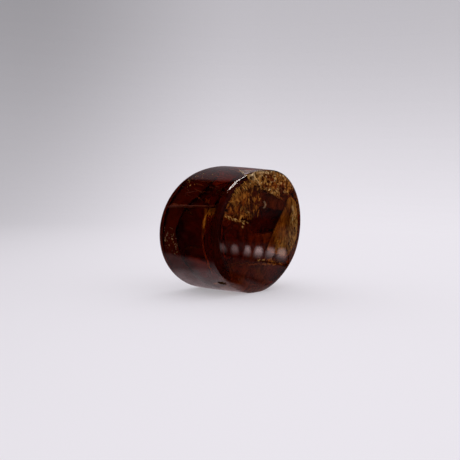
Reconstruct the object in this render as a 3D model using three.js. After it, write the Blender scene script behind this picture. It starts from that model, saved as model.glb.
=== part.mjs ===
// A dravite tourmaline crystal: one short, stubby prism of brown tourmaline, worn and polished
// smooth, lying on its side.
//
// The crystal's own long axis, its c axis, runs along X. Across it the prism is a rounded triangle,
// as tourmaline's is, a little wider than it is tall. Each end is cut off at a slight lean, domed, and
// joined to the prism by a rounded bevel. The +X end also falls away below a soft sloping break, as a
// second polished facet. The crystal rests on a narrow flat along its underside.
//
// Units are millimetres and degrees. +Z is up. The origin is under the middle of the crystal, on the
// surface that it rests on.
import * as THREE from "three";

// The prism. Angles round it are measured from +Y towards +Z.
const PRISM_LENGTH = 9.45; // between the two end planes, on the axis
const FRONT_RADIUS = 9.5; // mean radius at the +X end
const BACK_RADIUS = 9.8; // mean radius at the -X end
const FLATTENING = 0.08; // how much wider than tall the section is, as a share of the radius
const TRIGONALITY = 0.028; // how far the three blunt corners stand out, as a share of the radius
const FIRST_CORNER = 48; // where the first blunt corner is
const AXIS_DRIFT = 0.65; // how far the axis moves along +Y from the back end to the front one
const BELLY = 0.05; // how far the side stands out of straight at mid-length
const REST_FLAT_DEPTH = 0.125; // how much the flat on the underside takes off the round section

// The ends. A lean tips the plane so that its top is further along +X; a turn does the same with its
// +Y side. The dome is how far the middle of the face stands off its plane.
const FRONT_END = { lean: 0.95, turn: 0.55, dome: 0.45 };
const BACK_END = { lean: 8.6, turn: 1.4, dome: 0.5 };

// The bevel at each end: how far it reaches in from the side, and how far back from the end plane.
// The front bevel is wider on +Y than on -Y, and wider below than above.
const FRONT_BEVEL = { inward: 0.64, inwardAcross: 0.2, inwardBelow: 0.4, depth: 0.83, depthBelow: 0.75 };
const BACK_BEVEL = { inward: 0.8, inwardAcross: 0, inwardBelow: 0, depth: 0.8, depthBelow: 0 };
const BEVEL_POWER = 1.35; // 1 is a flat chamfer and 2 is a quarter round

// The second facet on the front end, below the break.
const FACET_ANGLE = 7; // how far it falls back from the end plane
const BREAK_HEIGHT = 5.8; // height of the break above the surface, at y = 0
const BREAK_SLOPE = -6; // the break rises towards +Y where this is positive
const BREAK_SOFTNESS = 0.5; // a quarter of the height over which the break rounds off

// How finely the surface is divided.
const ROUND = 96; // round the prism
const FRONT_STEPS = 11; // from the middle of the front face to its bevel
const BACK_STEPS = 5;
const BEVEL_STEPS = 5;
const SIDE_STEPS = 4;

const radians = THREE.MathUtils.degToRad;
const lerp = THREE.MathUtils.lerp;

// The section's radius at an angle, as a share of the mean radius.
function sectionShare(angle) {
  const width = FLATTENING * Math.cos(2 * angle);
  const corners = TRIGONALITY * Math.cos(3 * (angle - radians(FIRST_CORNER)));
  return 1 + width + corners;
}

// The height of the axis at which a section of this mean radius just reaches below the rest flat.
function axisHeight(radius) {
  let lowest = 0;
  for (let i = 0; i < ROUND; i++) {
    const angle = (2 * Math.PI * i) / ROUND;
    lowest = Math.min(lowest, radius * sectionShare(angle) * Math.sin(angle));
  }
  return -lowest - REST_FLAT_DEPTH;
}

// One end of the prism. Its side is +1 at the front and -1 at the back.
function makeEnd(side, radius, shape, bevel) {
  const axis = new THREE.Vector3(
    (side * PRISM_LENGTH) / 2,
    (side * AXIS_DRIFT) / 2,
    axisHeight(radius),
  );
  return { side, radius, axis, bevel, ...shape };
}

const front = makeEnd(1, FRONT_RADIUS, FRONT_END, FRONT_BEVEL);
const back = makeEnd(-1, BACK_RADIUS, BACK_END, BACK_BEVEL);

// Where an end's plane is along X, at y, z.
function endPlane(end, y, z) {
  const lean = Math.tan(radians(end.lean)) * (z - end.axis.z);
  const turn = Math.tan(radians(end.turn)) * (y - end.axis.y);
  return end.axis.x + lean + turn;
}

// How far the second facet lies behind the front end's plane at y, z: nothing above the break, a
// steady slope below it, and a smooth change between.
function facetDrop(y, z) {
  const breakHeight = BREAK_HEIGHT + Math.tan(radians(BREAK_SLOPE)) * y;
  const below = BREAK_SOFTNESS * Math.log1p(Math.exp((breakHeight - z) / BREAK_SOFTNESS));
  return Math.tan(radians(FACET_ANGLE)) * below;
}

// How far the bevel reaches in from the side at an angle.
function bevelInward(bevel, angle) {
  return bevel.inward + bevel.inwardAcross * Math.cos(angle) - bevel.inwardBelow * Math.sin(angle);
}

// How far the bevel reaches back from the end plane at an angle.
function bevelDepth(bevel, angle) {
  return bevel.depth - bevel.depthBelow * Math.sin(angle);
}

// A point on the edge between the side and an end's bevel.
function outerEdge(end, angle) {
  const radius = end.radius * sectionShare(angle);
  const y = end.axis.y + radius * Math.cos(angle);
  const z = end.axis.z + radius * Math.sin(angle);
  const x = endPlane(end, y, z) - end.side * bevelDepth(end.bevel, angle);
  return new THREE.Vector3(x, y, z);
}

// A point on an end's face, at a share of the way out from its middle to its bevel.
function facePoint(end, angle, share) {
  const edgeRadius = end.radius * sectionShare(angle) - bevelInward(end.bevel, angle);
  const y = end.axis.y + share * edgeRadius * Math.cos(angle);
  const z = end.axis.z + share * edgeRadius * Math.sin(angle);
  const dome = end.side * end.dome * (1 - share * share);
  const drop = end === front ? facetDrop(y, z) : 0;
  return new THREE.Vector3(endPlane(end, y, z) + dome - drop, y, z);
}

// A point on an end's bevel, along a superellipse from the side at share 0 to the face at share 1.
function bevelPoint(end, angle, share) {
  const turn = (Math.PI / 2) * share;
  const along = Math.sin(turn) ** (2 / BEVEL_POWER);
  const inward = 1 - Math.cos(turn) ** (2 / BEVEL_POWER);
  const outer = outerEdge(end, angle);
  const inner = facePoint(end, angle, 1);
  return new THREE.Vector3(
    lerp(outer.x, inner.x, along),
    lerp(outer.y, inner.y, inward),
    lerp(outer.z, inner.z, inward),
  );
}

// A point on the side, at a share of the way from the back bevel to the front one.
function sidePoint(angle, share) {
  const point = outerEdge(back, angle).lerp(outerEdge(front, angle), share);
  const belly = BELLY * 4 * share * (1 - share);
  point.y += belly * Math.cos(angle);
  point.z += belly * Math.sin(angle);
  return point;
}

// The crystal's outline from the middle of the back face to the middle of the front one. Each stop on
// it is a function from an angle to a point.
function outlineStops() {
  const stops = [];
  for (let i = 0; i <= BACK_STEPS; i++) {
    stops.push((angle) => facePoint(back, angle, i / BACK_STEPS));
  }
  for (let i = BEVEL_STEPS - 1; i > 0; i--) {
    stops.push((angle) => bevelPoint(back, angle, i / BEVEL_STEPS));
  }
  for (let i = 0; i <= SIDE_STEPS; i++) {
    stops.push((angle) => sidePoint(angle, i / SIDE_STEPS));
  }
  for (let i = 1; i < BEVEL_STEPS; i++) {
    stops.push((angle) => bevelPoint(front, angle, i / BEVEL_STEPS));
  }
  for (let i = FRONT_STEPS; i >= 0; i--) {
    stops.push((angle) => facePoint(front, angle, i / FRONT_STEPS));
  }
  return stops;
}

// The closed surface. A lathe spins the outline at angle 0 into a round crystal, and each of its
// vertices then moves to its own stop and angle. The underside is cut flat at z = 0.
function crystalGeometry() {
  const stops = outlineStops();
  const middle = facePoint(back, 0, 0);
  const outline = stops.map((stop) => new THREE.Vector2(stop(0).y - middle.y, stop(0).x));
  const geometry = new THREE.LatheGeometry(outline, ROUND);
  const position = geometry.getAttribute("position");
  for (let i = 0; i < position.count; i++) {
    const around = Math.floor(i / stops.length) % ROUND;
    const point = stops[i % stops.length]((2 * Math.PI * around) / ROUND);
    position.setXYZ(i, point.x, point.y, Math.max(point.z, 0));
  }
  geometry.computeBoundingBox();
  const centre = geometry.boundingBox.getCenter(new THREE.Vector3());
  geometry.translate(-centre.x, -centre.y, 0);
  geometry.computeVertexNormals();
  return geometry;
}

const polishedTourmaline = new THREE.MeshStandardMaterial({
  color: 0x4a1a0e,
  roughness: 0.1,
  metalness: 0,
});

const crystal = new THREE.Mesh(crystalGeometry(), polishedTourmaline);
crystal.name = "crystal";

const specimen = new THREE.Group();
specimen.add(crystal);

export default specimen;
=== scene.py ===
# %% [markdown]
# # A polished crystal of dravite tourmaline
# Dravite is the brown magnesium tourmaline. This one grew as a single short, stout prism, and somebody
# has sawn both ends nearly square and polished it all over, so it is one rounded drum of dark,
# brandy-brown glassy stone about 11 x 21.5 x 18 mm. Held to the light it is see-through: deep red where
# the light has come a long way, gold wherever a crack or a film of flakes lies close under the polish.
#
# The lesson builds it as nature did: one clear solid, with its flaws as real little pieces inside it.
# Nothing is painted on the outside. The colour comes from the stone's absorption and the depth of what
# is seen through it.

import math

import bpy
import numpy as np
from mathutils import Matrix, Vector


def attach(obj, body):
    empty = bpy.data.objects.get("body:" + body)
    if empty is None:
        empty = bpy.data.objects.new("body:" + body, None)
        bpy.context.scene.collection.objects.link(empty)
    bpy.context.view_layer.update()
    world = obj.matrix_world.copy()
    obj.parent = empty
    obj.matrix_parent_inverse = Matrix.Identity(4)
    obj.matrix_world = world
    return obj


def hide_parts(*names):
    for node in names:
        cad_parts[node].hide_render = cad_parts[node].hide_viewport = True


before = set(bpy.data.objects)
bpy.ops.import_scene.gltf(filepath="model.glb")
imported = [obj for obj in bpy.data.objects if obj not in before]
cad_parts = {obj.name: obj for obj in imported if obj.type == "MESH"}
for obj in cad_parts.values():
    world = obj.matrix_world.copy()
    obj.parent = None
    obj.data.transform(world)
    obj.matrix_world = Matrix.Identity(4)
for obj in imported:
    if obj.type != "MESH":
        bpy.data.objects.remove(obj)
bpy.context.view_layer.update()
MM = 0.001  # every length below is in millimetres and is scaled once, when it goes into a mesh

# %% [markdown]
# ## The camera
# A stone this small is looked at from about a hand's width away, from a little above the table, with a
# polished end and one long side both in view. The camera is described by where it stands and by the
# compass bearing, tilt and roll of its gaze, because those are numbers that a person could set by hand.

# %% Camera
scene = bpy.context.scene
CAMERA_PLACE = (57.10, -72.74, 14.22)  # mm
GAZE_BEARING = 128.315  # degrees from +X towards +Y
GAZE_TILT = -3.391
GAZE_ROLL = -1.287
SENSOR_WIDTH = 36.0
LENS = 50.36


def direction(bearing, tilt):
    """Unit vector for a compass bearing from +X and a height above the horizon, both in degrees."""
    b, t = math.radians(bearing), math.radians(tilt)
    return Vector((math.cos(b) * math.cos(t), math.sin(b) * math.cos(t), math.sin(t)))


gaze = direction(GAZE_BEARING, GAZE_TILT)
level_right = gaze.cross(Vector((0, 0, 1))).normalized()
level_up = level_right.cross(gaze)
roll = math.radians(GAZE_ROLL)
up = level_up * math.cos(roll) + level_right * math.sin(roll)
camera_data = bpy.data.cameras.new("camera")
camera_data.lens = LENS
camera_data.sensor_width = SENSOR_WIDTH
camera_data.clip_start = MM  # a millimetre in front of the lens
camera = bpy.data.objects.new("camera", camera_data)
turned = Matrix((gaze.cross(up), up, -gaze)).transposed().to_4x4()
camera.matrix_world = Matrix.Translation(Vector(CAMERA_PLACE) * MM) @ turned
scene.collection.objects.link(camera)
scene.camera = camera
scene.view_settings.view_transform = "Standard"
print("camera", [round(v, 1) for v in CAMERA_PLACE], "mm, lens", LENS, "mm")

# %% [markdown]
# ## Small helpers
# Colours are written as the sRGB hex values that a colour picker shows, and turned to the linear light
# that Cycles works in. A node is added with its settings and its links in one call. A closed skin is the
# only kind of surface that this stone needs: rings of points between two poles, like a globe's parallels.
# Its faces must point outwards, so they are turned round wherever the volume inside comes out negative.

# %% Helpers
def linear(hex_colour):
    """sRGB to linear: low values divided by 12.92, the others by the 2.4 power law, alpha 1."""
    share = np.array([int(hex_colour[i : i + 2], 16) for i in (1, 3, 5)]) / 255
    curve = np.where(share <= 0.04045, share / 12.92, ((share + 0.055) / 1.055) ** 2.4)
    return (*curve.tolist(), 1.0)


def add(tree, kind, links=(), **settings):
    """Adds one node. settings are its properties; links gives each socket a value or another socket."""
    node = tree.nodes.new(kind)
    for name, value in settings.items():
        setattr(node, name, value)
    for socket, source in dict(links).items():
        if isinstance(source, bpy.types.NodeSocket):
            tree.links.new(source, node.inputs[socket])
        else:
            node.inputs[socket].default_value = source
    return node


def empty_material(name):
    """A material with a cleared node tree."""
    material = bpy.data.materials.new(name)
    material.use_nodes = True
    material.node_tree.nodes.clear()
    return material


def put_in_scene(name, points, faces, material):
    """A mesh from points in millimetres and a list of faces, smooth shaded, with one material."""
    mesh = bpy.data.meshes.new(name)
    mesh.from_pydata((np.asarray(points) * MM).tolist(), [], faces)
    mesh.shade_smooth()
    mesh.materials.append(material)
    piece = bpy.data.objects.new(name, mesh)
    scene.collection.objects.link(piece)
    return piece


def closed_skin(first_pole, rings, last_pole):
    """Points and outward faces of a globe: quads between rings (count, around, 3), triangles at the poles.

    The volume is the sum over all triangles of a . (b x c) / 6.
    """
    count, around = rings.shape[:2]
    points = np.concatenate([[first_pole], rings.reshape(-1, 3), [last_pole]])
    here = np.arange(around)
    after = (here + 1) % around
    row = 1 + around * np.arange(count - 1)[:, None]
    quads = np.stack([row + here, row + after, row + around + after, row + around + here], -1)
    quads = quads.reshape(-1, 4)
    start, last = 1 + around * (count - 1), len(points) - 1
    caps = np.concatenate([
        np.stack([0 * here, 1 + after, 1 + here], -1),
        np.stack([0 * here + last, start + here, start + after], -1),
    ])
    triangles = np.concatenate([caps, quads[:, [0, 1, 2]], quads[:, [0, 2, 3]]])
    a, b, c = points[triangles.T]
    if np.einsum("ij,ij->i", a, np.cross(b, c)).sum() < 0:
        quads, caps = quads[:, ::-1], caps[:, ::-1]
    return points, quads.tolist() + caps.tolist()


print("a half-bright grey, #808080, is", round(linear("#808080")[0], 3), "in linear light")

# %% [markdown]
# ## The shape of the stone
# A tourmaline prism has a rounded triangular section, and this one is also a little flattened. Seen from
# its end it is nearly a circle, 19 mm across, so its outline is written as a circle with two small waves
# added: one that goes round twice (the flattening) and one that goes round three times (the three-fold
# growth of all tourmalines). A curve drawn by hand would do as well, but this needs three numbers only.
# The same named values drive the solid in the frame, so the two agree.

# %% Section and axis of the prism
PRISM_LENGTH = 9.45
FRONT_RADIUS = 9.5
BACK_RADIUS = 9.8
FLATTENING = 0.08
TRIGONALITY = 0.028
FIRST_CORNER = 48.0  # degrees
AXIS_DRIFT = 0.65  # how far the axis wanders sideways from end to end
BELLY = 0.05  # how far the side stands out of straight at mid-length
REST_FLAT_DEPTH = 0.125  # what the polisher took off underneath, so that it stands

AROUND = 400  # points round each ring
angle = np.linspace(0, 2 * np.pi, AROUND, endpoint=False)


def section(at):
    """Radius of the outline as a share of its mean: 1 + F cos 2a + T cos 3(a - first corner)."""
    return 1 + FLATTENING * np.cos(2 * at) + TRIGONALITY * np.cos(3 * (at - math.radians(FIRST_CORNER)))


def axis_height(radius):
    """Height of the axis at an end: as high as its outline hangs below it, less the flat it rests on."""
    return -(radius * section(angle) * np.sin(angle)).min() - REST_FLAT_DEPTH


print("axis heights", round(axis_height(FRONT_RADIUS), 2), round(axis_height(BACK_RADIUS), 2), "mm")

# %% [markdown]
# ## The two polished ends
# Each end is a plane that leans a little, domed by half a millimetre because a polishing wheel always
# takes more off near an edge, and joined to the side by a rounded bevel. A Bevel modifier would round
# both rims evenly; a formula lets the front one be wider below than above, as a hand polishes it. The
# front end has a second facet: below a soft break its lower third falls back by 7 degrees.

# %% End planes, the second facet and the bevels
BEVEL_POWER = 1.35  # 1 is a flat chamfer and 2 is a quarter round
FACET_ANGLE = 7.0  # degrees
BREAK_HEIGHT = 5.8  # height of the break line in the middle
BREAK_SLOPE = -6.0  # degrees
BREAK_SOFTNESS = 0.5  # a quarter of the height over which the break rounds off


class End:
    """One end of the prism: which way it faces, its radius, lean, turn, dome and bevel.

    inward is how far the bevel reaches in: a mean, a cosine and a sine term. depth is how far it reaches
    back: a mean and a sine term. facet is 1 where the second facet cuts the end, and otherwise 0.
    """

    def __init__(self, facing, radius, lean, turn, dome, inward, depth, facet):
        self.facing, self.radius, self.dome, self.facet = facing, radius, dome, facet
        self.lean, self.turn = math.tan(math.radians(lean)), math.tan(math.radians(turn))
        self.axis = np.array([facing * PRISM_LENGTH / 2, facing * AXIS_DRIFT / 2, axis_height(radius)])
        self.inward, self.depth = inward, depth

    def plane(self, across, height):
        """x of the end's plane: it leans with height and turns with the distance across."""
        return self.axis[0] + self.lean * (height - self.axis[2]) + self.turn * (across - self.axis[1])

    def bevel_width(self, at):
        """How far the bevel reaches in from the outline: inward's mean + cosine term + sine term."""
        return self.inward[0] + self.inward[1] * np.cos(at) + self.inward[2] * np.sin(at)

    def face_height(self, across, height, share):
        """x of the polished face, domed by 1 - share squared and cut by the second facet."""
        x = self.plane(across, height) + self.facing * self.dome * (1 - share**2)
        return x - self.facet * facet_drop(across, height)

    def edge(self, at=angle):
        """The ring where the side ends and the bevel starts."""
        reach = self.radius * section(at)
        across = self.axis[1] + reach * np.cos(at)
        height = self.axis[2] + reach * np.sin(at)
        depth = self.depth[0] + self.depth[1] * np.sin(at)
        return np.stack([self.plane(across, height) - self.facing * depth, across, height], -1)

    def face(self, share):
        """A ring of the polished face; share 0 is its middle and 1 is where the bevel starts."""
        reach = share * (self.radius * section(angle) - self.bevel_width(angle))
        across = self.axis[1] + reach * np.cos(angle)
        height = self.axis[2] + reach * np.sin(angle)
        return np.stack([self.face_height(across, height, share), across, height], -1)

    def bevel(self, share):
        """A ring of the bevel: a quarter of a superellipse from the edge (0) to the face (1)."""
        turn = share * math.pi / 2
        along = math.sin(turn) ** (2 / BEVEL_POWER)
        inward = 1 - math.cos(turn) ** (2 / BEVEL_POWER)
        return self.edge() + (self.face(1) - self.edge()) * np.array([along, inward, inward])

    def surface(self, across, height):
        """x of the skin above any point of the end, bevel included: the bevel's formula solved for x."""
        at = np.arctan2(height - self.axis[2], across - self.axis[1])
        reach = np.hypot(height - self.axis[2], across - self.axis[1])
        rim, width = self.radius * section(at), self.bevel_width(at)
        climbed = np.clip((rim - reach) / width, 0, 1)
        along = (1 - (1 - climbed) ** BEVEL_POWER) ** (1 / BEVEL_POWER)
        foot = self.plane(across, height) - self.facing * (self.depth[0] + self.depth[1] * np.sin(at))
        top = self.face_height(across, height, np.minimum(reach / (rim - width), 1))
        return foot + (top - foot) * along


def facet_drop(across, height):
    """How far the second facet lies behind the end: a slope that starts softly below the break line."""
    line = BREAK_HEIGHT + math.tan(math.radians(BREAK_SLOPE)) * across
    soft = BREAK_SOFTNESS * np.logaddexp(0, (line - height) / BREAK_SOFTNESS)
    return math.tan(math.radians(FACET_ANGLE)) * soft


FRONT = End(1, FRONT_RADIUS, lean=0.95, turn=0.55, dome=0.45, inward=(0.64, 0.2, -0.4),
            depth=(0.83, -0.75), facet=1)
BACK = End(-1, BACK_RADIUS, lean=8.6, turn=1.4, dome=0.5, inward=(0.8, 0, 0), depth=(0.8, 0), facet=0)
print("ends", FRONT.axis.round(2), BACK.axis.round(2))


# %% [markdown]
# ## The whole skin as one globe
# The skin is one surface from the middle of the back end, over its bevel, along the side, over the front
# bevel and in to the middle of the front end. Because every ring has the same number of points, the rings
# stack into one array. The front face gets the most rings, as its break line needs them.

# %% Rings from pole to pole
BACK_FACE_RINGS, FRONT_FACE_RINGS = 40, 80
BEVEL_RINGS, SIDE_RINGS = 18, 36


def side_ring(share):
    """A ring of the long side, from the back edge (0) to the front (1), with a hair of belly between."""
    ring = BACK.edge() * (1 - share) + FRONT.edge() * share
    swell = BELLY * 4 * share * (1 - share)
    return ring + swell * np.stack([0 * angle, np.cos(angle), np.sin(angle)], -1)


rings = [BACK.face(s) for s in np.linspace(0, 1, BACK_FACE_RINGS + 1)[1:]]
rings += [BACK.bevel(s) for s in np.linspace(1, 0, BEVEL_RINGS + 1)[1:-1]]
rings += [side_ring(s) for s in np.linspace(0, 1, SIDE_RINGS)]
rings += [FRONT.bevel(s) for s in np.linspace(0, 1, BEVEL_RINGS + 1)[1:-1]]
rings += [FRONT.face(s) for s in np.linspace(1, 0, FRONT_FACE_RINGS + 1)[:-1]]
skin = np.array(rings)
skin[..., 2] = np.maximum(skin[..., 2], 0)  # the flat it rests on
centre = (skin.min((0, 1)) + skin.max((0, 1))) / 2 * np.array([1, 1, 0])
skin -= centre
poles = [end.face(0)[0] - centre for end in (BACK, FRONT)]
print("skin", skin.shape, "rings x points, moved by", (-centre[:2]).round(3), "mm")

# %% [markdown]
# ## The stone itself: polished dravite
# Tourmaline's refractive index is about 1.63, so a polished face mirrors some 6% of the light and bends
# the rest steeply. Its brown is not on the surface: traces of iron and titanium in the stone swallow
# light along the way, blue first, then green, then red. A tinted surface would give one colour at any
# thickness, so the colour is a volume absorption instead: one millimetre of it is honey, three are amber
# and ten are nearly black. The three strengths are per metre of path.

# %% Polished dravite
ABSORBED_PER_METRE = np.array([190.0, 540.0, 1250.0])  # red, green, blue
polished_dravite = empty_material("polished dravite tourmaline")
tree = polished_dravite.node_tree
stone = add(tree, "ShaderNodeBsdfPrincipled", {
    "Base Color": linear("#FFFFFF"),
    "Roughness": 0.02,
    "IOR": 1.63,
    "Transmission Weight": 1.0,
})
density = float(ABSORBED_PER_METRE.max())
body_colour = (*(1 - ABSORBED_PER_METRE / density).tolist(), 1)
body = add(tree, "ShaderNodeVolumeAbsorption", {"Color": body_colour, "Density": density})
add(tree, "ShaderNodeOutputMaterial", {"Surface": stone.outputs[0], "Volume": body.outputs[0]})

points, faces = closed_skin(poles[0], skin, poles[1])
crystal = put_in_scene("crystal_body", points, faces, polished_dravite)
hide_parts("crystal")
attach(crystal, "root")
print("crystal", len(points), "points", len(faces), "faces")

# %% [markdown]
# ## What lies inside: where to put it
# All the gold in this stone comes from flaws a millimetre or two under the polish: cracks that healed
# while the crystal grew and films of tiny flakes. They are placed by where they lie under the skin, so
# three carriers turn "so far across, so high, so deep" into a point. Looking into glass at a slant, the
# line of sight bends, so a flaw seems to slide sideways with its depth; the carriers of the front and the
# long side, which the camera sees, allow for that.

# %% Carriers: places under the front, the back and the side
KEEP_IN = 0.12  # mm that places keep under the skin; only knocks on the rim lie nearer
FRONT_SLIDE = 0.55  # mm to the right for each mm of depth
SIDE_SLIDE = 0.48  # mm towards the back for each mm of depth
SIDE_RADIUS = 9.4  # turns mm round the side into an angle
LEAST_DEPTH = 0.02  # mm that a place goes in, even where the slide has no room
LEAST_SLANT = 0.02  # this and the next keep a length from being divided by nothing
LEAST_REACH = 1e-6
SIDE_ENDS = (0.03, 0.97)  # share of the prism's length that the long side offers


def under_end(end, across, height, depth, slide):
    """Goes in from the end's skin by depth, no deeper than where the slide would meet the outline.

    across gains slide x depth, and x is the skin's x less depth, kept under the skin.
    """
    y = across + centre[1] - end.axis[1]
    z = height - end.axis[2]
    at, reach = np.arctan2(z, y), np.hypot(y, z)
    room = end.radius * section(at) - KEEP_IN
    if slide:
        free = np.maximum(room - reach, 0) / (slide * np.maximum(np.cos(at), LEAST_SLANT))
        depth = np.minimum(depth, free + LEAST_DEPTH)
    y = y + slide * depth
    share = np.minimum(1, room / np.maximum(np.hypot(y, z), LEAST_REACH))
    y, z = y * share + end.axis[1], np.maximum(z * share + end.axis[2], KEEP_IN)
    x = end.surface(across + centre[1], height) - end.facing * depth
    limit = end.surface(y, z) - end.facing * KEEP_IN
    x = end.facing * np.minimum(end.facing * x, end.facing * limit)
    return np.stack([x, y, z], -1) - centre


def under_front(across, height, depth):
    """A point seen at (across, height) on the front face, depth mm down."""
    return under_end(FRONT, across, height, depth, FRONT_SLIDE)


def under_back(across, height, depth):
    """A point straight behind (across, height) on the back face, depth mm down."""
    return under_end(BACK, across, height, depth, 0.0)


def under_side(along, round_it, depth):
    """A point under the long side: mm along the prism, mm round it from +Y, depth mm down."""
    at = round_it / SIDE_RADIUS
    back, front = BACK.edge(at), FRONT.edge(at)
    share = (along + centre[0] - SIDE_SLIDE * depth - back[..., 0]) / (front[..., 0] - back[..., 0])
    share = np.clip(share, *SIDE_ENDS)[..., None]
    rim = back * (1 - share) + front * share
    inward = BACK.axis * (1 - share) + FRONT.axis * share - rim
    inward[..., 0] = 0
    inward /= np.linalg.norm(inward, axis=-1, keepdims=True)
    return rim + inward * np.asarray(depth)[..., None] - centre


def on_side(*places):
    """Corners on the side, given as (mm along, degrees round, and whatever follows)."""
    return [(along, math.radians(degrees) * SIDE_RADIUS, *rest) for along, degrees, *rest in places]


sample = np.zeros(1), np.full(1, 9.0), np.ones(1)
for carrier in (under_front, under_back, under_side):
    print(carrier.__name__, "turns (0, 9, 1) into", carrier(*sample).round(2), "mm")

# %% [markdown]
# ## What lies inside: outlines and crumpling
# Every flaw is drawn as an outline or a path of a few corners, walked in equal steps. Nature never leaves
# a film flat, so its depth gets a crumple: a sum of sine waves in random directions, each set half as
# long as the one before, which looks like foil. A fine noise would look grainy, and waves are quickly
# worked out for a whole array of points.

# %% Outlines and crumpling
WAVES = 6  # sine waves in each set
WAVE_SETS = 3
FADING = 0.55  # strength of each set, as a share of the one before


def ripple(points, pitch, seed):
    """Noise of about unit size: sets of sine waves over points / pitch, each half as long and fainter."""
    rng = np.random.default_rng(seed)
    total, power = 0, 0
    for octave in range(WAVE_SETS):
        ways = rng.normal(size=(3, WAVES))
        ways /= np.linalg.norm(ways, axis=0)
        waves = np.sin(2 * np.pi * 2**octave * ((points / pitch) @ ways) + rng.uniform(0, 2 * np.pi, WAVES))
        total = total + FADING**octave * waves.sum(-1)
        power += WAVES / 2 * FADING ** (2 * octave)
    return total / math.sqrt(power)


def walk(corners, count, closed=True):
    """The line through the corners in equal steps, with every further number of a corner carried along."""
    line = np.array([*corners, corners[0]] if closed else corners, float)
    walked = np.concatenate([[0], np.cumsum(np.hypot(*np.diff(line[:, :2], axis=0).T))])
    even = np.linspace(0, walked[-1], count, endpoint=not closed)
    return np.stack([np.interp(even, walked, line[:, k]) for k in range(line.shape[1])], -1)


def smooth_step(share):
    """3 s^2 - 2 s^3 for s held between 0 and 1."""
    share = np.clip(share, 0, 1)
    return share**2 * (3 - 2 * share)


print("crumple over the skin: spread", ripple(skin, 2.0, 1).std().round(2))

# %% [markdown]
# ## What lies inside: how a veil is made
# A healed crack is a crumpled film, thinner than paper. A pattern on the outside could stand for it from
# one side, but a film inside shifts and reddens as the stone turns. Each one is a closed, lens-thin skin
# that fills an outline of a few corners: its rings grow from the middle to the outline on the far side
# and shrink back to the middle on the near side. How deep it lies decides its colour, so a veil that
# dives as it nears its outline fades from gold through brown to dark red, as the real ones do. Each
# corner says over how many millimetres it dives there; a corner that doesn't say leaves the edge sharp.
# A dent is a round hollow or bump: where, how wide and how much deeper.

# %% Veils
DIVE = 5.0  # how many mm a soft edge goes down
LEAST_SOFT = 0.02  # mm, so that nothing is divided by the width of a sharp edge, which is nothing
TEAR_PITCH = 2.5  # length of the waves in a ragged outline
VEIL_THICKNESS = 0.05


def inclusion(piece):
    """Every flaw moves with the stone."""
    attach(piece, "root")
    print("inclusion", piece.name, len(piece.data.polygons), "faces")
    return piece


def veil(name, carrier, corners, depth, material, seed, tilt=(0, 0), crumple=0.15, pitch=1.2, tear=0.04,
         rings=44, around=160, dents=()):
    """Depth = depth + tilt . (place - middle) + crumple x ripple + dents + dive towards soft edges."""
    outline = walk([(*corner, 0)[:3] for corner in corners], around)
    edge, soft = outline[:, :2], np.maximum(outline[:, 2], LEAST_SOFT)
    middle = edge.mean(0)
    push = 1 + tear * ripple(np.pad(edge, ((0, 0), (0, 1))), TEAR_PITCH, seed)
    edge = middle + (edge - middle) * push[:, None]
    share = np.linspace(0, 1, rings + 1)[:, None, None]
    place = middle + share * (edge - middle)
    flat = carrier(place[..., 0], place[..., 1], 0 * place[..., 0] + 1)
    down = depth + (place - middle) @ np.array(tilt, float) + crumple * ripple(flat, pitch, seed + 1)
    for across, height, radius, deeper in dents:
        away = np.hypot(place[..., 0] - across, place[..., 1] - height)
        down = down + deeper * smooth_step(1 - away / radius)
    to_edge = (1 - share[..., 0]) * np.hypot(*(edge - middle).T)
    down = down + DIVE * np.where(outline[:, 2] > 0, 1 - smooth_step(to_edge / soft), 0)
    down = np.maximum(down, KEEP_IN)
    lens = VEIL_THICKNESS * np.sqrt(1 - share[..., 0] ** 2)
    near_side = carrier(place[..., 0], place[..., 1], down)
    far_side = carrier(place[..., 0], place[..., 1], down + lens)
    skin_rings = np.concatenate([far_side[1:-1], near_side[:0:-1]])
    points, faces = closed_skin(far_side[0, 0], skin_rings, near_side[0, 0])
    return inclusion(put_in_scene(name, points, faces, material))


print("a veil is", VEIL_THICKNESS, "mm thick in its middle and dives", DIVE, "mm at a soft edge")

# %% [markdown]
# ## What lies inside: streaks
# Where a crack is seen edge-on, or a growth tube runs through the stone, it shows as a pale line with a
# soft halo. A streak is a long narrow fold: its crest follows a path of a few points, each with its own
# half width and depth, and its flanks dive away on both sides.

# %% Streaks
STREAK_ACROSS = 9  # points over the width of a streak
STREAK_THICKNESS = 0.04
STREAK_TAPER = (0.02, 0.98)  # the part of a half sine wave whose square root narrows the ends
WANDER_PITCH = 1.3
CREST_PITCH, CREST_WAVES = 0.7, 0.06  # length and height of the crest's own ups and downs


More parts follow.
